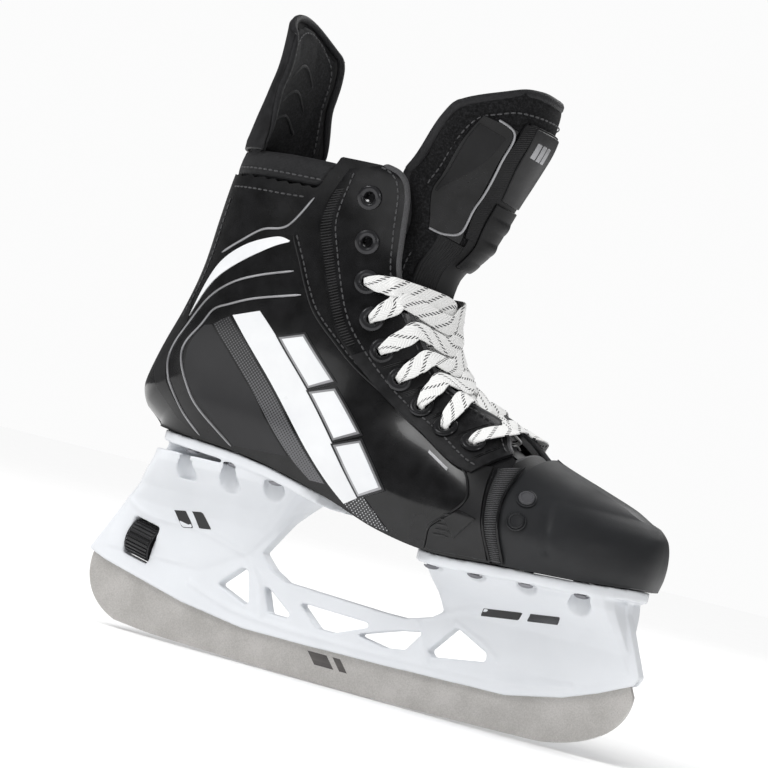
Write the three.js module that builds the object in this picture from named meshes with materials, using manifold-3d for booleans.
// Hockey ice skate for the right foot: moulded boot, two-post blade holder with a quick-release
// runner, lacing and padding. Millimetres, +X to the toe, +Y to the inner side of the foot, +Z up.
// The origin is where the blade touches the ice, midway along its flat contact spot.
import * as THREE from 'three';
import { mergeVertices } from 'three/addons/utils/BufferGeometryUtils.js';
import Module from 'manifold-3d';

const wasm = await Module();
wasm.setup();

// ---------------------------------------------------------------- driving dimensions
const GAP = 0.35;                 // clearance kept between pieces that touch
const RUNNER_HALF = 140;          // half the length of the steel
const RUNNER_THICKNESS = 3;
const ROCKER_RADIUS = 3000;       // lengthwise curve of the blade
const CONTACT_HALF = 12;          // half the flat spot of the blade
const SLOT_HALF_WIDTH = 1.9;      // half the width of the slot that the steel sits in
const HOLDER_HALF = 4.2;          // half thickness of the holder's truss
const FLANGE_THICKNESS = 5;
const OUTSOLE_THICKNESS = 3.5;
const SHELL_WALL = 3.6;           // quarter package
const CAP_WALL = 2.6;
const FACING_LIFT = 0.7;          // underside of the facing above the quarter
const FACING_TOP = 2.1;
const LINER_OUTER = SHELL_WALL + 2.8;
const LINER_INNER = LINER_OUTER + 5;
const SHAFT_DEPTH = 64;           // ridge to widest point, ankle
const TOE_DEPTH = 40;             // ridge to widest point, forefoot
const HEEL_DEPTH = 38;            // heel back to widest point
const TOE_LENGTH = 50;            // toe front to widest point
const FOOTBED_BOTTOM = 6.2;       // above the sole line
const FOOTBED_TOP = 10.2;
const COLLAR_LINE = 220;          // top edge of the quarter behind the facing
const COLLAR_TOP = 234;
const TONGUE_HINGE_Z = 241;

const RELEASE = {
  wheel: new THREE.Vector3(-114, 0, 43.5),
  tilt: THREE.MathUtils.degToRad(11),   // the screw runs nose down, along the holder's lower edge
  wheelRadius: 8.6,
  wheelHalfLength: 6.2,
  boltRadius: 2.5,
};
const FRONT_PIN = { x: 118, z: 33.5, radius: 2.2 };

const LACE_RADIUS = 1.2;          // round stand-in for the flat lace
const EYELET = { hole: 2.4, barrel: 3.1, flange: 5.7, bore: 3.7 };
const RIVET = { shank: 2.1, head: 3.6, bore: 2.7 };

// ---------------------------------------------------------------- profile lines of the boot (x, z)
const SOLE_POINTS = [
  [-132, 99], [-107, 97], [-57, 93], [-15, 84], [15, 75.5], [45, 71.5], [77, 73.2], [114, 75], [140, 78],
];
const RIDGE_POINTS = [
  [134, 106], [122, 111.5], [104, 117], [84, 123], [64, 131], [48, 139], [34, 148], [24, 158],
  [18, 172], [17, 188], [21, 205], [28, 226], [35, 248], [40, 264], [42, 284],
];
const BACK_POINTS = [
  [-118, 99], [-126, 104], [-130, 111], [-130.5, 119], [-126.5, 134], [-119.5, 153], [-114.5, 174],
  [-112.5, 199], [-110.5, 218], [-107, 238],
];
const TOE_FRONT_POINTS = [[78, 136.5], [84, 138], [92, 138.5], [100, 137.5], [104, 135], [107, 131.5]];
const TOE_CROWN_POINTS = [[70, 129], [84, 123], [104, 117], [122, 111.5], [131, 107.5], [138, 105]];
const TOE_REAR_POINTS = [[70, 81], [78, 79.5], [86, 77], [100, 75], [112, 75.5], [124, 79]];
const WIDTH_LOW_POINTS = [
  [-132, 33], [-95, 33.5], [-40, 33], [0, 37], [40, 44], [70, 47.5], [95, 46.5], [140, 44],
];
const WIDTH_SHAFT_POINTS = [
  [100, 34], [135, 37], [160, 38], [190, 35.5], [215, 35.5], [240, 37], [290, 38],
];
const FACING_EDGE_POINTS = [
  [70.5, 119.8], [65, 123.5], [54, 134], [33.6, 141], [21.4, 148], [12.3, 158.7], [4.8, 169.7], [-2.8, 181],
  [-7.3, 193], [-8.5, 208.5], [-9.5, 226], [-14, 234], [-24, 236.5],
];
const FACING_REAR_POINTS = [
  [60, 109], [46, 112], [27, 121.5], [8, 131], [-8, 142], [-22, 154], [-29, 163], [-36, 177],
  [-42, 190], [-47, 203], [-46, 214], [-42, 224], [-37, 233.5],
];
const EYELET_POINTS = [
  [51, 122], [36, 126], [21, 133], [7, 143], [-4, 154], [-12, 167], [-18.5, 183], [-22.5, 201], [-25.5, 221],
];

const MATERIALS = {
  steel: { color: 0xb9b6b0, roughness: 0.3, metalness: 1 },
  white: { color: 0xf1f2f4, roughness: 0.4, metalness: 0 },
  gloss: { color: 0x101013, roughness: 0.2, metalness: 0 },
  matte: { color: 0x1d1d1f, roughness: 0.7, metalness: 0 },
  cap: { color: 0x2a2b2d, roughness: 0.6, metalness: 0 },
  lace: { color: 0xeeeeec, roughness: 0.9, metalness: 0 },
  felt: { color: 0x141414, roughness: 1, metalness: 0 },
  rivet: { color: 0x77777b, roughness: 0.4, metalness: 0.9 },
};

const group = new THREE.Group();

// ---------------------------------------------------------------- curve and mesh tools
const vector = (x, y, z) => new THREE.Vector3(x, y, z);

/** Smooth planar line through (x, z) points. */
function line(points) {
  return new THREE.SplineCurve(points.map(([x, z]) => new THREE.Vector2(x, z)));
}

/** Smooth function of one variable through (input, output) points, held flat beyond the ends. */
function profile(points) {
  return (input) => {
    const last = points.length - 1;
    if (input <= points[0][0]) return points[0][1];
    if (input >= points[last][0]) return points[last][1];
    const i = points.findIndex((point, index) => index > 0 && input <= point[0]) - 1;
    const slope = (a, b) => (points[b][1] - points[a][1]) / (points[b][0] - points[a][0]);
    const [x0, y0] = points[i];
    const [x1, y1] = points[i + 1];
    const width = x1 - x0;
    const m0 = i > 0 ? slope(i - 1, i + 1) : slope(i, i + 1);
    const m1 = i + 1 < last ? slope(i, i + 2) : slope(i, i + 1);
    const t = (input - x0) / width;
    const bend = t * t * (3 - 2 * t);
    return y0 + (y1 - y0) * bend + width * t * (1 - t) * ((1 - t) * m0 - t * m1);
  };
}

/** Distance from (x, z) to a sampled line, negative on the line's right-hand side. */
function distanceTo(samples, x, z) {
  let best = Infinity;
  let sign = 1;
  for (let i = 1; i < samples.length; i += 1) {
    const a = samples[i - 1];
    const b = samples[i];
    const dx = b.x - a.x;
    const dz = b.y - a.y;
    const along = THREE.MathUtils.clamp(((x - a.x) * dx + (z - a.y) * dz) / (dx * dx + dz * dz), 0, 1);
    const gap = Math.hypot(x - a.x - along * dx, z - a.y - along * dz);
    if (gap < best) {
      best = gap;
      sign = dx * (z - a.y) - dz * (x - a.x) < 0 ? -1 : 1;
    }
  }
  return best * sign;
}

/** Geometry from points and triangles, with its faces turned outwards. */
function closedGeometry(points, triangles) {
  let volume = 0;
  const normal = new THREE.Vector3();
  for (const [a, b, c] of triangles) volume += points[a].dot(normal.crossVectors(points[b], points[c]));
  const faces = volume < 0 ? triangles.map(([a, b, c]) => [a, c, b]) : triangles;
  const geometry = new THREE.BufferGeometry();
  geometry.setFromPoints(points);
  geometry.setIndex(faces.flat());
  geometry.computeVertexNormals();
  return geometry;
}

/** Closed sheet between two surfaces, outer(u, v) and inner(u, v). */
function sheet(outer, inner, nu, nv) {
  const points = [];
  for (const surface of [outer, inner]) {
    for (let i = 0; i <= nu; i += 1) {
      for (let j = 0; j <= nv; j += 1) points.push(surface(i / nu, j / nv));
    }
  }
  const at = (layer, i, j) => layer * (nu + 1) * (nv + 1) + i * (nv + 1) + j;
  const triangles = [];
  const quad = (a, b, c, d) => triangles.push([a, b, c], [a, c, d]);
  for (let i = 0; i < nu; i += 1) {
    for (let j = 0; j < nv; j += 1) {
      quad(at(0, i, j), at(0, i + 1, j), at(0, i + 1, j + 1), at(0, i, j + 1));
      quad(at(1, i, j), at(1, i, j + 1), at(1, i + 1, j + 1), at(1, i + 1, j));
    }
  }
  for (let i = 0; i < nu; i += 1) {
    quad(at(0, i, 0), at(1, i, 0), at(1, i + 1, 0), at(0, i + 1, 0));
    quad(at(0, i, nv), at(0, i + 1, nv), at(1, i + 1, nv), at(1, i, nv));
  }
  for (let j = 0; j < nv; j += 1) {
    quad(at(0, 0, j), at(0, 0, j + 1), at(1, 0, j + 1), at(1, 0, j));
    quad(at(0, nu, j), at(1, nu, j), at(1, nu, j + 1), at(0, nu, j + 1));
  }
  return closedGeometry(points, triangles);
}

/** Solid through a stack of rings with equal point counts, closed by flat fans. */
function loft(rings) {
  const count = rings[0].length;
  const points = rings.flat();
  const triangles = [];
  for (let i = 0; i + 1 < rings.length; i += 1) {
    for (let j = 0; j < count; j += 1) {
      const a = i * count + j;
      const b = i * count + ((j + 1) % count);
      triangles.push([a, b, b + count], [a, b + count, a + count]);
    }
  }
  for (const [ring, turn] of [[0, true], [rings.length - 1, false]]) {
    const centre = new THREE.Vector3();
    rings[ring].forEach((point) => centre.addScaledVector(point, 1 / count));
    const hub = points.push(centre) - 1;
    for (let j = 0; j < count; j += 1) {
      const a = ring * count + j;
      const b = ring * count + ((j + 1) % count);
      triangles.push(turn ? [b, a, hub] : [a, b, hub]);
    }
  }
  return closedGeometry(points, triangles);
}

/** Side-view outline given as (x, z) points, extruded across the skate. */
function sidePlate(outline, halfWidth) {
  const shape = outline instanceof THREE.Shape
    ? outline
    : new THREE.Shape(outline.map(([x, z]) => new THREE.Vector2(x, z)));
  const settings = { depth: 2 * halfWidth, bevelEnabled: false, curveSegments: 8 };
  const geometry = new THREE.ExtrudeGeometry(shape, settings);
  return geometry.rotateX(Math.PI / 2).translate(0, halfWidth, 0);
}

/** Body of revolution about +Z from (radius, height) points. */
function turned(outline, segments) {
  const geometry = new THREE.LatheGeometry(outline.map(([r, z]) => new THREE.Vector2(r, z)), segments);
  return geometry.rotateX(Math.PI / 2);
}

/** Straight rod of a given radius between two points. */
function rod(from, to, radius, segments) {
  const geometry = new THREE.CylinderGeometry(radius, radius, from.distanceTo(to), segments);
  const turn = new THREE.Quaternion().setFromUnitVectors(vector(0, 1, 0), to.clone().sub(from).normalize());
  return geometry.applyQuaternion(turn).translate(...from.clone().add(to).multiplyScalar(0.5).toArray());
}

/** Round cord of a given radius along a smooth curve. */
function cord(curve, radius, steps, sides) {
  const section = new THREE.Shape();
  section.absarc(0, 0, radius, 0, 2 * Math.PI);
  const ring = new THREE.Shape(section.getSpacedPoints(sides).slice(0, sides));
  return new THREE.ExtrudeGeometry(ring, { steps, extrudePath: curve, bevelEnabled: false });
}

/** Exact solid of a geometry, for cutting and joining. */
function toSolid(geometry) {
  const bare = geometry.clone();
  bare.deleteAttribute('normal');
  bare.deleteAttribute('uv');
  const merged = mergeVertices(bare, 1e-4);
  return new wasm.Manifold(new wasm.Mesh({
    numProp: 3,
    vertProperties: new Float32Array(merged.attributes.position.array),
    triVerts: new Uint32Array(merged.index.array),
  }));
}

function toGeometry(solid) {
  const mesh = solid.getMesh();
  const geometry = new THREE.BufferGeometry();
  geometry.setAttribute('position', new THREE.Float32BufferAttribute(mesh.vertProperties, 3));
  geometry.setIndex(new THREE.Uint32BufferAttribute(mesh.triVerts, 1));
  geometry.computeVertexNormals();
  return geometry;
}

const joined = (geometries) => geometries.map(toSolid).reduce((whole, piece) => whole.add(piece));

/** The first geometry with all the tools cut away. */
function cut(body, tools) {
  const solid = body instanceof THREE.BufferGeometry ? toSolid(body) : body;
  return tools.map(toSolid).reduce((rest, tool) => rest.subtract(tool), solid);
}

function addMesh(name, geometry, finish, parent = group) {
  const material = new THREE.MeshStandardMaterial(MATERIALS[finish]);
  const mesh = new THREE.Mesh(geometry, material);
  mesh.name = name;
  parent.add(mesh);
  return mesh;
}

const SIDES = [['left', 1], ['right', -1]];

// ---------------------------------------------------------------- outer surface of the boot
const soleHeight = profile(SOLE_POINTS);
const widthLow = profile(WIDTH_LOW_POINTS);
const widthShaft = profile(WIDTH_SHAFT_POINTS);
const toeFront = profile(TOE_FRONT_POINTS);
const toeCrown = profile(TOE_CROWN_POINTS);
const toeRear = profile(TOE_REAR_POINTS);
const ridge = line(RIDGE_POINTS);
const ridgeSamples = ridge.getSpacedPoints(160);
const back = line(BACK_POINTS);
const backSamples = back.getSpacedPoints(90).reverse();
const facingEdge = line(FACING_EDGE_POINTS);
const facingRear = line(FACING_REAR_POINTS);

/** Round-off from 0 at an edge to 1 at full width. */
function closing(distance, depth, power = 2) {
  const t = THREE.MathUtils.clamp(distance / depth, 0, 1);
  return (1 - (1 - t) ** power) ** (1 / power);
}

/** Half-width of the boot away from its rounded edges: foot below, shaft above. */
function girth(x, z) {
  const shaft = THREE.MathUtils.smoothstep(z, 115, 150) * (1 - THREE.MathUtils.smoothstep(x, 15, 60));
  return THREE.MathUtils.lerp(widthLow(x), widthShaft(z), shaft);
}

/** Half-width of the boot's outer surface where the side view is at (x, z). */
function halfWidth(x, z) {
  const depth = THREE.MathUtils.lerp(SHAFT_DEPTH, TOE_DEPTH, THREE.MathUtils.smoothstep(x, 0, 60));
  const top = closing(distanceTo(ridgeSamples, x, z), depth);
  const heel = x < -60 ? closing(distanceTo(backSamples, x, z), HEEL_DEPTH) : 1;
  const toe = x > 60 ? closing(toeFront(z) - x, TOE_LENGTH, 2.4) : 1;
  const tuck = 1 - 0.1 * (1 - THREE.MathUtils.smoothstep(z - soleHeight(x), 0, 20));
  return girth(x, z) * top * heel * toe * tuck;
}

/** Unit normal of the outer surface on the given side. */
function surfaceNormal(x, z, side) {
  const step = 0.6;
  const dx = (halfWidth(x + step, z) - halfWidth(x - step, z)) / (2 * step);
  const dz = (halfWidth(x, z + step) - halfWidth(x, z - step)) / (2 * step);
  return vector(-dx, side, -dz).normalize();
}

/** Point of the boot's side at (x, z), lifted along the normal; the halves stay apart at y = 0. */
function surfacePoint(x, z, side, lift = 0) {
  const point = vector(x, side * halfWidth(x, z), z).addScaledVector(surfaceNormal(x, z, side), lift);
  point.y = side * Math.max(side * point.y, GAP);
  return point;
}

// ---------------------------------------------------------------- runner, holder and release
const screwAxis = vector(Math.cos(RELEASE.tilt), 0, -Math.sin(RELEASE.tilt));
const screwUp = vector(Math.sin(RELEASE.tilt), 0, Math.cos(RELEASE.tilt));
const alongScrew = (forward, up = 0) => RELEASE.wheel.clone()
  .addScaledVector(screwAxis, forward)
  .addScaledVector(screwUp, up);
// The bolt draws back along the screw while the steel's hook drops by the same amount, so the two
// meet on a face that runs along the difference of those motions.
const wedge = screwAxis.clone().add(vector(0, 0, -1)).normalize();
const NOSE_TIP = alongScrew(29.5, -RELEASE.boltRadius);
const NOSE_TOP = NOSE_TIP.clone().addScaledVector(wedge, -8.4);

const HOLDER_LOWER = [
  [-141, 33.5], [-131, 30], [-109, 25], [-87, 20], [-53, 15.5], [-20, 15.5], [20, 16], [82, 17.5],
  [108, 23], [124, 29], [139, 36],
];
const holderLower = profile(HOLDER_LOWER);

/** Height of the curved edge, tangent to the ice at the ends of the flat spot. */
const rockerHeight = (x) => (x * x - CONTACT_HALF * CONTACT_HALF) / (2 * ROCKER_RADIUS);

function runnerShape() {
  const hook = [
    [-74, 24], [-75, 38], [-78, 46], [-85, 49.5], [NOSE_TOP.x + 0.2, 47.5],
  ];
  const face = [NOSE_TOP, NOSE_TIP].map((p) => p.clone().addScaledVector(vector(-wedge.z, 0, wedge.x), GAP));
  const shape = new THREE.Shape();
  shape.moveTo(-CONTACT_HALF, 0);
  shape.lineTo(CONTACT_HALF, 0);
  for (let x = 30; x <= 102; x += 18) shape.lineTo(x, rockerHeight(x));
  shape.bezierCurveTo(122, 4.5, RUNNER_HALF, 14, RUNNER_HALF - 0.6, 31);
  shape.lineTo(136, 37.5);
  shape.lineTo(126, 37.5);
  shape.lineTo(121.6, 33.5);
  shape.absarc(FRONT_PIN.x, FRONT_PIN.z, FRONT_PIN.radius + GAP, 0, Math.PI, true);
  shape.lineTo(114, 29);
  for (let x = 100; x >= -60; x -= 20) shape.lineTo(x, holderLower(x) + 6);
  hook.forEach(([x, z]) => shape.lineTo(x, z));
  face.forEach((p) => shape.lineTo(p.x, p.z));
  shape.lineTo(NOSE_TIP.x - 2, 29.5);
  shape.lineTo(-96, 28.5);
  shape.lineTo(-131, 35.5);
  shape.lineTo(-138, 37);
  shape.bezierCurveTo(-142, 26, -RUNNER_HALF + 1, 10, -120, 3.4);
  for (let x = -102; x <= -30; x += 18) shape.lineTo(x, rockerHeight(x));
  return shape;
}

function holderShape() {
  const shape = new THREE.Shape(HOLDER_LOWER.map(([x, z]) => new THREE.Vector2(x, z)));
  const upper = [
    [141, 40], [129, 66], [128, 72], [36, 69], [35, 63], [40, 56], [44, 46.5], [39, 43], [27, 39.5],
    [14, 39.5], [-36, 41.5], [-44, 45.5], [-51, 52], [-34, 79], [-30, 86], [-112, 95], [-114, 84],
    [-122, 71],
  ];
  upper.forEach(([x, z]) => shape.lineTo(x, z));
  return shape;
}

const HOLDER_WINDOWS = [
  [[-70, 32.5], [-59.5, 43], [-56, 42], [-52, 27.5], [-54, 26.5]],
  [[-46, 37], [-44, 37], [-30, 27.5], [-31, 25.5], [-41, 25.5]],
  [[-27, 34], [-24, 34], [9, 33], [10, 31], [-6, 24.5], [-15, 24.5]],
  [[4, 26.5], [24, 33], [37, 35.5], [30, 25.5], [20, 24]],
  [[41, 28], [51, 40.5], [54, 40.5], [69, 33.5], [69, 29.5], [43, 25.5]],
];

/** Level ring of a post: a rounded rectangle between two x positions. */
function postRing([z, from, to, half]) {
  const ring = [];
  const count = 22;
  const soft = (value) => Math.sign(value) * Math.abs(value) ** 0.45;
  for (let i = 0; i < count; i += 1) {
    const angle = (2 * Math.PI * i) / count;
    const x = (from + to) / 2 + (to - from) / 2 * soft(Math.cos(angle));
    ring.push(vector(x, half * soft(Math.sin(angle)), z));
  }
  return ring;
}

/** Plate that follows the sole line between two x positions. */
function solePlate(from, to, half, bottom, top, nx, ny) {
  const surface = (height) => (u, v) => {
    const x = THREE.MathUtils.lerp(from, to, 0.5 - 0.5 * Math.cos(Math.PI * u));
    return vector(x, (2 * v - 1) * half(x), soleHeight(x) + height);
  };
  return sheet(surface(top), surface(bottom), nx, ny);
}

const soleHalf = (x) => halfWidth(x, soleHeight(x) + 4.5);
const flangeHalf = (x) => 0.94 * soleHalf(x);

/** Half-width that rounds off towards both ends of a plate. */
function roundedHalf(from, to, half) {
  const middle = (from + to) / 2;
  return (x) => half(x) * Math.max(0.12, (1 - Math.abs((x - middle) / (to - middle)) ** 10) ** 0.4);
}

const RIVET_ROWS = {
  heel: { xs: [-90, -67, -44], inset: 7.5 },
  toe: { xs: [44, 66, 90, 114], inset: 10 },
};

function rivetPlaces() {
  const places = [];
  for (const [zone, { xs, inset }] of Object.entries(RIVET_ROWS)) {
    for (const [name, side] of SIDES) {
      xs.forEach((x, index) => places.push({
        name: `${zone}_rivet_${name}_${index + 1}`,
        centre: vector(x, side * (soleHalf(x) - inset), soleHeight(x)),
      }));
    }
  }
  return places;
}

function rivetBore({ centre }) {
  return rod(centre.clone().add(vector(0, 0, -9)), centre.clone().add(vector(0, 0, 9)), RIVET.bore, 8);
}

/** Scalloped recess that gives a rivet head a flat seat under the flange. */
function rivetScallop({ centre }) {
  const seat = centre.clone().add(vector(0, 0, -FLANGE_THICKNESS));
  return rod(seat.clone().add(vector(0, 0, -14)), seat, RIVET.head + 1.6, 12);
}

function holderGeometry() {
  const heelRings = [
    [37, -137, -75, 5], [50, -131.5, -55, 6.4], [62, -126, -46, 8.2], [70, -121.5, -40, 13],
    [77, -117.5, -35, 20.5], [83, -113.5, -30, 26], [88, -112, -29, 27.5],
  ];
  const toeRings = [
    [31, 60, 124, 4.6], [40, 50, 139, 6], [48, 43, 135, 7.6], [55, 40, 132, 14], [61, 37, 130, 24],
    [66, 35, 128.5, 31], [70, 34, 127.5, 33],
  ];
  const below = -FLANGE_THICKNESS;
  const body = joined([
    sidePlate(holderShape(), HOLDER_HALF),
    loft(heelRings.map(postRing)),
    loft(toeRings.map(postRing)),
    solePlate(-114, -13, roundedHalf(-114.2, -12.8, flangeHalf), below, 0, 12, 2),
    solePlate(31, 133, roundedHalf(30.8, 133.2, flangeHalf), below, 0, 12, 2),
  ]);
  const aboveSole = solePlate(-131, 139, () => 60, 0, 30, 24, 1);
  const windows = HOLDER_WINDOWS.map((outline) => sidePlate(outline, 20));
  const slot = sidePlate(slotShape(), SLOT_HALF_WIDTH);
  const rivetCuts = rivetPlaces().flatMap((place) => [rivetBore(place), rivetScallop(place)]);
  const cutters = [aboveSole, ...windows, slot, wheelWindow(), boltChannel(), ...rivetCuts];
  const pinEnds = [-3, 3].map((y) => vector(FRONT_PIN.x, y, FRONT_PIN.z));
  const pin = rod(...pinEnds, FRONT_PIN.radius, 12);
  return toGeometry(cut(body, cutters).add(toSolid(pin)));
}

/** The slot follows the steel's upper edge, with head room for its front end to tip up. */
function slotShape() {
  const shape = new THREE.Shape();
  shape.moveTo(-150, 10);
  shape.lineTo(150, 10);
  shape.lineTo(150, 39);
  shape.lineTo(122, 39);
  shape.lineTo(111, 37.5);
  shape.lineTo(104, 31);
  for (let x = 100; x >= -60; x -= 20) shape.lineTo(x, holderLower(x) + 6.4);
  shape.lineTo(-72.5, 24.4);
  shape.lineTo(-72.5, 40);
  shape.lineTo(-76, 49);
  shape.lineTo(-85, 52);
  shape.lineTo(-97, 51);
  shape.lineTo(-101, 44);
  shape.lineTo(-104, 31.5);
  shape.lineTo(-131, 36.6);
  shape.lineTo(-150, 40);
  return shape;
}

function wheelWindow() {
  const half = RELEASE.wheelHalfLength + 0.9;
  const high = RELEASE.wheelRadius + 0.8;
  const corners = [[-half, -high], [half, -high], [half, high], [-half, high]];
  const outline = corners.map(([forward, up]) => alongScrew(forward, up)).map((p) => [p.x, p.z]);
  return sidePlate(outline, 20);
}

function boltChannel() {
  return rod(alongScrew(-15.5), alongScrew(31), RELEASE.boltRadius + 0.6, 12);
}

/** Ribbed barrel nut, turned by the thumb through the window in the rear post. */
function thumbWheelGeometry() {
  const ribs = 26;
  const shape = new THREE.Shape();
  for (let i = 0; i < ribs; i += 1) {
    const angle = (2 * Math.PI * i) / ribs;
    const step = (2 * Math.PI) / ribs;
    const deep = RELEASE.wheelRadius - 0.7;
    const put = (radius, turn) => [radius * Math.cos(angle + turn), radius * Math.sin(angle + turn)];
    if (i === 0) shape.moveTo(...put(RELEASE.wheelRadius, 0));
    shape.lineTo(...put(RELEASE.wheelRadius, 0.45 * step));
    shape.lineTo(...put(deep, 0.6 * step));
    shape.lineTo(...put(deep, 0.85 * step));
    if (i < ribs - 1) shape.lineTo(...put(RELEASE.wheelRadius, step));
  }
  const bore = new THREE.Path();
  bore.absarc(0, 0, RELEASE.boltRadius + GAP, 0, 2 * Math.PI, true);
  shape.holes.push(new THREE.Path(bore.getSpacedPoints(16).slice(0, 16)));
  const settings = { depth: 2 * RELEASE.wheelHalfLength, bevelEnabled: false };
  const geometry = new THREE.ExtrudeGeometry(shape, settings);
  geometry.translate(0, 0, -RELEASE.wheelHalfLength).rotateY(Math.PI / 2).rotateY(RELEASE.tilt);
  return geometry.translate(...RELEASE.wheel.toArray());
}

/** Screw that the wheel draws fore and aft, with a wedge nose that carries the steel's hook. */
function lockBoltGeometry() {
  const stem = rod(alongScrew(-8.5), alongScrew(24), RELEASE.boltRadius, 12);
  const rearTop = alongScrew(18, RELEASE.boltRadius);
  const rearLow = alongScrew(18, -RELEASE.boltRadius);
  const nose = sidePlate([rearLow, NOSE_TIP, NOSE_TOP, rearTop].map((p) => [p.x, p.z]), 1.5);
  const far = NOSE_TOP.clone().addScaledVector(wedge, -6);
  const beyond = [vector(far.x + 30, 0, far.z), vector(NOSE_TIP.x + 20, 0, NOSE_TIP.z - 6)];
  const relief = sidePlate([NOSE_TIP, NOSE_TOP, far, ...beyond].map((p) => [p.x, p.z]), 6);
  return toGeometry(cut(joined([stem, nose]), [relief]));
}

function addBlade() {
  addMesh('runner_steel', sidePlate(runnerShape(), RUNNER_THICKNESS / 2), 'steel');
  addMesh('holder', holderGeometry(), 'white');
  addMesh('thumb_wheel', thumbWheelGeometry(), 'gloss');
  addMesh('lock_bolt', lockBoltGeometry(), 'steel');
  const outline = [
    [0, -FLANGE_THICKNESS - 1.7], [2.4, -FLANGE_THICKNESS - 1.5], [RIVET.head, -FLANGE_THICKNESS - GAP],
    [RIVET.shank, -FLANGE_THICKNESS - GAP], [RIVET.shank, 4.5], [3.1, 4.5], [2.6, 5.4], [0, 5.4],
  ];
  for (const { name, centre } of rivetPlaces()) {
    addMesh(name, turned(outline, 8), 'rivet').position.copy(centre);
  }
}

// ---------------------------------------------------------------- boot
function outsoleGeometry() {
  const half = (x) => Math.max(3, 0.94 * soleHalf(x));
  const plate = solePlate(-119, 133, half, GAP, OUTSOLE_THICKNESS, 18, 2);
  return toGeometry(cut(plate, rivetPlaces().map(rivetBore)));
}

/** Lower and rear border of the quarter: along the sole from the toe cap, then up the back seam. */
function quarterBorder(station) {
  const turn = 0.6;
  if (station >= turn) {
    const p = back.getPointAt(0.06 + 0.94 * (station - turn) / (1 - turn) * 0.995);
    return [p.x, Math.max(p.y, soleHeight(p.x) + OUTSOLE_THICKNESS + GAP + 0.4)];
  }
  const x = THREE.MathUtils.lerp(75, -121, station / turn);
  return [x, soleHeight(x) + OUTSOLE_THICKNESS + GAP + 0.4];
}

/** Side view of the quarter: stations run from the toe cap round to the collar. */
function quarterPoint(station, across) {
  const front = facingEdge.getPointAt(station);
  const [x, z] = quarterBorder(station);
  const bend = 1 - (1 - across) ** 1.6;
  return [THREE.MathUtils.lerp(front.x, x, bend), THREE.MathUtils.lerp(front.y, z, bend)];
}

function quarterGeometry(side) {
  const layer = (lift) => (u, v) => surfacePoint(...quarterPoint(u, v), side, lift);
  const shell = sheet(layer(0), layer(-SHELL_WALL), 27, 11);
  const collarCut = sidePlate([[-140, COLLAR_LINE], [-53, COLLAR_LINE], [-41, 240], [-140, 260]], 80);
  return toGeometry(cut(shell, [collarCut, ...eyeletPlaces(side).map(eyeletBore)]));
}

/** Centre and axis of each eyelet of one side, from the toe upwards. */
function eyeletPlaces(side) {
  return EYELET_POINTS.map(([x, z]) => ({
    centre: surfacePoint(x, z, side, FACING_TOP),
    axis: surfaceNormal(x, z, side),
  }));
}

function eyeletBore({ centre, axis }) {
  const inner = centre.clone().addScaledVector(axis, -12);
  return rod(inner, centre.clone().addScaledVector(axis, 5), EYELET.bore, 8);
}

function eyeletGeometry() {
  const foot = -(FACING_TOP + SHELL_WALL + 0.3);
  return turned([
    [EYELET.hole, foot], [EYELET.barrel, foot], [EYELET.barrel, 0.5], [EYELET.flange, 0.5],
    [4.6, 1.7], [EYELET.hole, 1.1], [EYELET.hole, foot],
  ], 8);
}

function facingGeometry(side) {
  const place = (u, v) => {
    const front = facingEdge.getPointAt(0.02 + 0.97 * u);
    const rear = facingRear.getPointAt(0.02 + 0.97 * u);
    return [THREE.MathUtils.lerp(front.x, rear.x, v), THREE.MathUtils.lerp(front.y, rear.y, v)];
  };
  const layer = (lift) => (u, v) => surfacePoint(...place(u, v), side, lift);
  const strip = sheet(layer(FACING_TOP), layer(FACING_LIFT), 20, 3);
  return toGeometry(cut(strip, eyeletPlaces(side).map(eyeletBore)));
}

/** Cap over the toes, hollow and open to the rear and to the sole. */
function toeCapGeometry() {
  const inside = (x, z) => Math.min(halfWidth(x, z), halfWidth(x + CAP_WALL + 1, z + 1)) - CAP_WALL;
  const ring = (u, half, crown, floor) => {
    const points = [];
    const steps = 16;
    for (let i = 0; i <= steps; i += 1) {
      const rise = Math.sin(Math.PI * i / steps);
      const along = Math.sin(Math.PI / 2 * 0.97 * u);
      const x = THREE.MathUtils.lerp(78, 137, along);
      const z = THREE.MathUtils.lerp(floor(x), crown(x), rise ** 1.15);
      const place = THREE.MathUtils.lerp(toeRear(z), toeFront(z), along);
      points.push(vector(place, Math.sign(steps / 2 - i) * Math.max(0.4, half(place, z)), z));
    }
    return points;
  };
  const stations = [0, 0.15, 0.3, 0.45, 0.6, 0.72, 0.82, 0.91, 1];
  const floor = (x) => soleHeight(x) + OUTSOLE_THICKNESS + GAP + 0.4;
  const hollowRing = (u) => ring(u, inside, (x) => toeCrown(x) - CAP_WALL, (x) => floor(x) - 5);
  const mouth = hollowRing(0).map((point) => point.add(vector(-10, 0, 0)));
  const outer = loft(stations.map((u) => ring(u, halfWidth, toeCrown, floor)));
  const hollow = loft([mouth, ...stations.slice(1, -1).map(hollowRing)]);
  return toGeometry(cut(outer, [hollow]));
}

function addBoot() {
  addMesh('outsole', outsoleGeometry(), 'matte');
  addMesh('toe_cap', toeCapGeometry(), 'cap');
  for (const [name, side] of SIDES) {
    addMesh(`quarter_${name}`, quarterGeometry(side), 'gloss');
    addMesh(`facing_${name}`, facingGeometry(side), 'matte');
    eyeletPlaces(side).forEach(({ centre, axis }, index) => {
      const eyelet = addMesh(`eyelet_${name}_${index + 1}`, eyeletGeometry(), 'rivet');
      eyelet.position.copy(centre);
      eyelet.quaternion.setFromUnitVectors(vector(0, 0, 1), axis);
    });
  }
  addFootbed();
}

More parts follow.
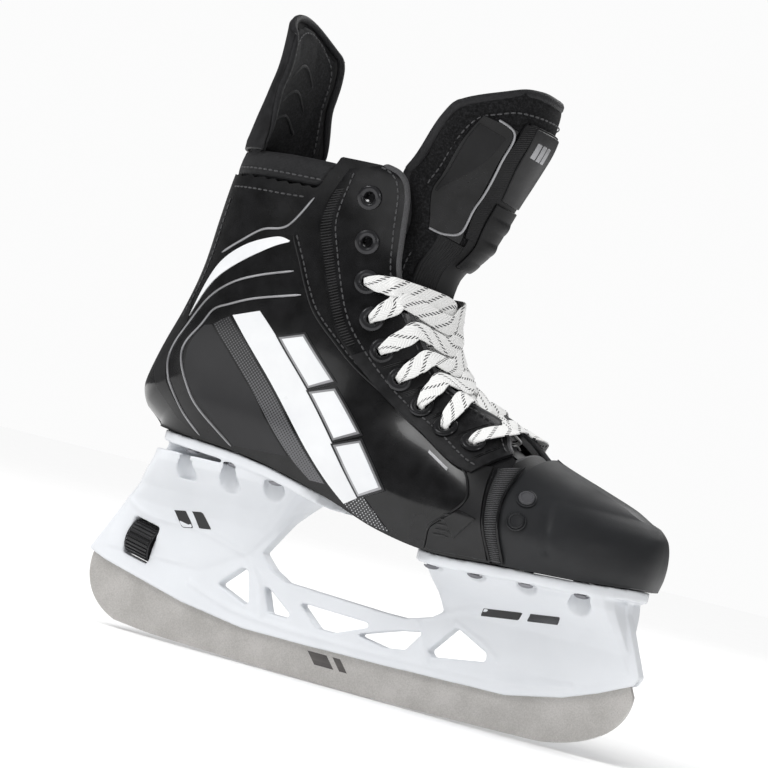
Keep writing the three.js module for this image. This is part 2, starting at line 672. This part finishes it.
function addFootbed() {
  const clear = SHELL_WALL + 2;
  const at = (x) => halfWidth(x, soleHeight(x) + FOOTBED_BOTTOM);
  const half = (x) => Math.max(2.5, Math.min(at(x), at(x - clear), at(x + clear)) - clear);
  addMesh('footbed', solePlate(-119, 124, half, FOOTBED_BOTTOM, FOOTBED_TOP, 18, 2), 'felt');
}

// ---------------------------------------------------------------- padding, tongue and tendon guard
/** Ankle padding of one side, with the rolled collar that finishes the top line. */
function linerGeometry(side) {
  const floor = FOOTBED_TOP + 2;
  const place = (u, v) => {
    const station = THREE.MathUtils.lerp(0.36, 0.985, u);
    const front = facingEdge.getPointAt(station);
    const [x, border] = quarterBorder(station);
    const z = Math.max(border, soleHeight(x) + floor);
    const along = THREE.MathUtils.lerp(0.34, 1, 1 - (1 - v) ** 1.6);
    return [THREE.MathUtils.lerp(front.x, x, along), THREE.MathUtils.lerp(front.y, z, along)];
  };
  const layer = (lift) => (u, v) => surfacePoint(...place(u, v), side, lift);
  const pad = sheet(layer(-LINER_OUTER), layer(-LINER_INNER), 15, 7);
  const overTop = sidePlate([[-140, COLLAR_TOP - 1], [20, COLLAR_TOP - 1], [20, 270], [-140, 270]], 80);
  const trimmed = cut(pad, [overTop]);
  return toGeometry(trimmed.add(toSolid(collarGeometry(side))));
}

function collarGeometry(side) {
  const place = (u, v) => {
    const z = THREE.MathUtils.lerp(COLLAR_LINE + 1.4, COLLAR_TOP, v);
    const rear = back.getPointAt(0.985 - 0.06 * (1 - v));
    const front = -54 + 0.6 * (z - COLLAR_LINE);
    return [THREE.MathUtils.lerp(rear.x + 0.2, front, u ** 1.5), z];
  };
  const layer = (lift) => (u, v) => surfacePoint(...place(u, v), side, lift);
  return sheet(layer(0), layer(-LINER_INNER), 10, 2);
}

/** Cross-section of the boot square to its ridge: an ellipse arch with its crown on the ridge. */
function archFrame(station) {
  const point = ridge.getPointAt(station);
  const tangent = ridge.getTangentAt(station);
  const inward = new THREE.Vector2(-tangent.y, tangent.x);
  const depth = THREE.MathUtils.lerp(SHAFT_DEPTH, TOE_DEPTH, THREE.MathUtils.smoothstep(point.x, 0, 60));
  return { point, inward, depth, width: girth(point.x + inward.x * depth, point.y + inward.y * depth) };
}

/** Point of the arch at an angle from its crown, with its sides drawn in and its crown sunk. */
function archPoint(station, angle, { narrower = 0, sunk = 0 }) {
  const { point, inward, depth, width } = archFrame(station);
  const down = sunk + depth * (1 - Math.cos(angle));
  return vector(point.x + inward.x * down, (width - narrower) * Math.sin(angle), point.y + inward.y * down);
}

const TONGUE = { root: 0.225, top: 0.995, thickness: 7, clear: 8.2, crown: 1.6, laced: 192, free: 212 };
const ridgeStation = (test) => {
  const index = ridgeSamples.findIndex(test);
  return index / (ridgeSamples.length - 1);
};
const TONGUE_SPLIT = ridgeStation((point) => point.y > TONGUE_HINGE_Z && point.x < 60);

/** Curved tongue sheet between two stations of the ridge: snug under the laces, flared above them. */
function tongueGeometry(from, to, steps) {
  const smooth = THREE.MathUtils.smoothstep;
  const layer = (depth) => (u, v) => {
    const station = THREE.MathUtils.lerp(from, to, u);
    const { x, y: height } = ridge.getPointAt(station);
    const shaft = 1 - smooth(x, 20, 60);
    const spread = 0.72 + 0.23 * shaft + 0.38 * smooth(height, 196, 226);
    const tip = 1 - 0.42 * smooth(station, 0.9, 1) ** 2;
    const tucked = 2.6 * (1 - smooth(station, TONGUE.root, TONGUE.root + 0.06));
    const sunk = THREE.MathUtils.lerp(TONGUE.clear, TONGUE.crown, smooth(height, TONGUE.laced, TONGUE.free));
    const flare = TONGUE.clear * smooth(height, 228, 252);
    const angle = (2 * v - 1) * spread * tip;
    return archPoint(station, angle, { narrower: TONGUE.clear - flare + depth, sunk: sunk + tucked + depth });
  };
  return sheet(layer(0), layer(TONGUE.thickness), steps, 8);
}

/** Rear guard over the tendon: a shallow trough, open to the front, with a rounded top. */
function guardGeometry(offset, thickness, inset) {
  const rear = profile([[238, -107], [249, -104.6], [262, -101.2], [276, -99], [290, -98.8], [303, -99.5]]);
  const layer = (lift) => (u, v) => {
    const angle = (2 * v - 1) * (1.4 - inset * 0.03);
    const top = 302 - inset - 12 * Math.sin(angle) ** 2;
    const z = THREE.MathUtils.lerp(239 + inset, top, u);
    const reach = THREE.MathUtils.lerp(25, 15, THREE.MathUtils.smoothstep(z, 238, 268));
    const half = THREE.MathUtils.lerp(34, 30, THREE.MathUtils.smoothstep(z, 238, 275));
    const x = rear(z) + lift + (reach - lift) * (1 - Math.cos(angle));
    return vector(x, (half - lift) * Math.sin(angle), z);
  };
  return sheet(layer(offset), layer(offset + thickness), 8, 10);
}

function addPadding() {
  for (const [name, side] of SIDES) addMesh(`ankle_liner_${name}`, linerGeometry(side), 'felt');
  addMesh('tongue_lower', tongueGeometry(TONGUE.root, TONGUE_SPLIT - 0.002, 16), 'felt');
  addMesh('tongue_upper', tongueGeometry(TONGUE_SPLIT + 0.002, TONGUE.top, 6), 'matte');
  addMesh('tendon_guard', guardGeometry(0, 2.2, 0), 'matte');
  addMesh('tendon_guard_pad', guardGeometry(2.6, 3.6, 3), 'felt');
}

// ---------------------------------------------------------------- toe cap studs
function addStuds() {
  const outline = [[0, GAP], [3.6, GAP], [3.4, 1.2], [2.4, 1.7], [0, 1.7]];
  for (const [name, side] of SIDES) {
    [[83.5, 104.5], [83.5, 94]].forEach(([x, z], index) => {
      const stud = addMesh(`toe_cap_stud_${name}_${index + 1}`, turned(outline, 8), 'rivet');
      stud.position.copy(surfacePoint(x, z, side, 0.15));
      stud.quaternion.setFromUnitVectors(vector(0, 0, 1), surfaceNormal(x, z, side));
    });
  }
}

// ---------------------------------------------------------------- lace
/** A curve sampled by its control points, so that rings gather where the lace turns sharply. */
class RouteCurve extends THREE.CatmullRomCurve3 {
  getPointAt(u, target) {
    return this.getPoint(u, target);
  }

  getTangentAt(u, target) {
    return this.getTangent(u, target);
  }
}

const LACED = 7;                  // eyelets in use on each side, from the toe
const OVER = 5.2;                 // lace centre above the quarter where it lies on a facing
const UNDER = -6.1;               // lace centre below the quarter where it passes a facing

const eyeletAt = (index) => new THREE.Vector2(...EYELET_POINTS[index]);

/** Point of the facing's front edge that faces an eyelet, shifted towards another eyelet. */
function edgeTowards(index, other) {
  const aim = eyeletAt(index).lerp(eyeletAt(other), 0.3);
  const samples = facingEdge.getSpacedPoints(120);
  return samples.reduce((best, point) => (point.distanceTo(aim) < best.distanceTo(aim) ? point : best));
}

/** Lace through an eyelet, from below the shell to above the facing. */
function eyeletPass(index, side, outward) {
  const { centre, axis } = eyeletPlaces(side)[index];
  const points = [-6.3, -4.4, -1.6, 1.6].map((height) => centre.clone().addScaledVector(axis, height));
  return outward ? points : points.reverse();
}

/** Lace between an eyelet and the facing's edge, over or under the facing. */
function facingRun(index, other, side, over, leaving) {
  const start = eyeletAt(index);
  const edge = edgeTowards(index, other);
  const above = [[0.3, OVER + 0.5], [0.65, OVER], [1, OVER - 0.7]];
  const below = [[0.35, UNDER], [0.7, UNDER], [1, UNDER + 0.4]];
  const lifts = over ? above : below;
  const points = lifts.map(([share, lift]) => {
    const place = start.clone().lerp(edge, share);
    return surfacePoint(place.x, place.y, side, lift);
  });
  return leaving ? points : points.reverse();
}

/** Middle of a strap, where it crosses its partner over the tongue. */
function crossing(first, second, side, rise) {
  const middle = eyeletAt(first).lerp(eyeletAt(second), 0.5);
  let nearest = 0;
  ridgeSamples.forEach((point, index) => {
    if (point.distanceTo(middle) < ridgeSamples[nearest].distanceTo(middle)) nearest = index;
  });
  const station = nearest / (ridgeSamples.length - 1);
  const shift = second === first ? 0 : 4 / ridge.getLength();
  return [0.22, 0, -0.22].map((angle, step) => archPoint(station + (step - 1) * shift, side * angle, {
    narrower: -2, sunk: -rise + (step === 1 ? 0 : 0.4),
  }));
}

/** Half of the lace, from the bar across the lowest pair of eyelets to the top pair in use. */
function laceHalf(start) {
  const points = eyeletPass(0, start, false);
  let side = start;
  for (let index = 0; index + 1 < LACED; index += 1) {
    const last = index + 2 === LACED;
    const rise = side < 0 ? -1 : -4.2;
    points.push(...facingRun(index, index + 1, side, index > 0, true));
    points.push(...crossing(index, index + 1, side, rise));
    side = -side;
    points.push(...facingRun(index + 1, index, side, last, false));
    points.push(...eyeletPass(index + 1, side, !last));
  }
  return points;
}

function laceRoute() {
  const bar = [
    ...facingRun(0, 0, 1, true, true), ...crossing(0, 0, 1, 1.5), ...facingRun(0, 0, -1, true, false),
  ];
  return [...laceHalf(1).reverse(), ...bar, ...laceHalf(-1)];
}

/** Free end of the lace: in through the top eyelet in use, down the side and onto the footbed. */
function tailRoute(side) {
  const { centre, axis } = eyeletPlaces(side)[LACED - 1];
  const start = [[-7.2, 0.3], [-8.7, 2], [-9.6, 5.4]].map(([height, rearward]) => centre.clone()
    .addScaledVector(axis, height)
    .add(vector(-rearward, 0, -0.4 * rearward)));
  const rest = [
    [-33, 18.5, 172], [-43, 16, 158], [-49, 14.5, 145], [-51, 14, 132], [-50.5, 14, 122],
    [-50, 14, HANK.top(-50) + GAP],
  ];
  return [...start, ...rest.map(([x, y, z]) => vector(x, side * y, z))];
}

const HANK = {
  from: -92, to: 28, inner: 9, outer: 19, height: 14,
  top: (x) => soleHeight(x) + FOOTBED_TOP + 1 + HANK.height,
};

function hankGeometry(side) {
  const surface = (height) => (u, v) => {
    const x = THREE.MathUtils.lerp(HANK.from, HANK.to, u);
    return vector(x, side * THREE.MathUtils.lerp(HANK.inner, HANK.outer, v), HANK.top(x) - height);
  };
  return sheet(surface(0), surface(HANK.height), 10, 1);
}

function addLace() {
  const route = laceRoute();
  addMesh('lace', cord(new RouteCurve(route), LACE_RADIUS, route.length - 1, 6), 'lace');
  for (const [name, side] of SIDES) {
    addMesh(`lace_tail_${name}`, cord(new RouteCurve(tailRoute(side)), LACE_RADIUS, 14, 8), 'lace');
    addMesh(`lace_hank_${name}`, hankGeometry(side), 'lace');
    const y = side * (HANK.inner + HANK.outer) / 2;
    const z = (x) => HANK.top(x) - HANK.height + 2.4;
    const ends = [HANK.to + GAP, HANK.to + 20].map((x) => vector(x, y, z(x)));
    addMesh(`aglet_${name}`, rod(ends[0], ends[1], 1.5, 10), 'matte');
  }
}

addBlade();
addBoot();
addPadding();
addStuds();
addLace();

export default group;
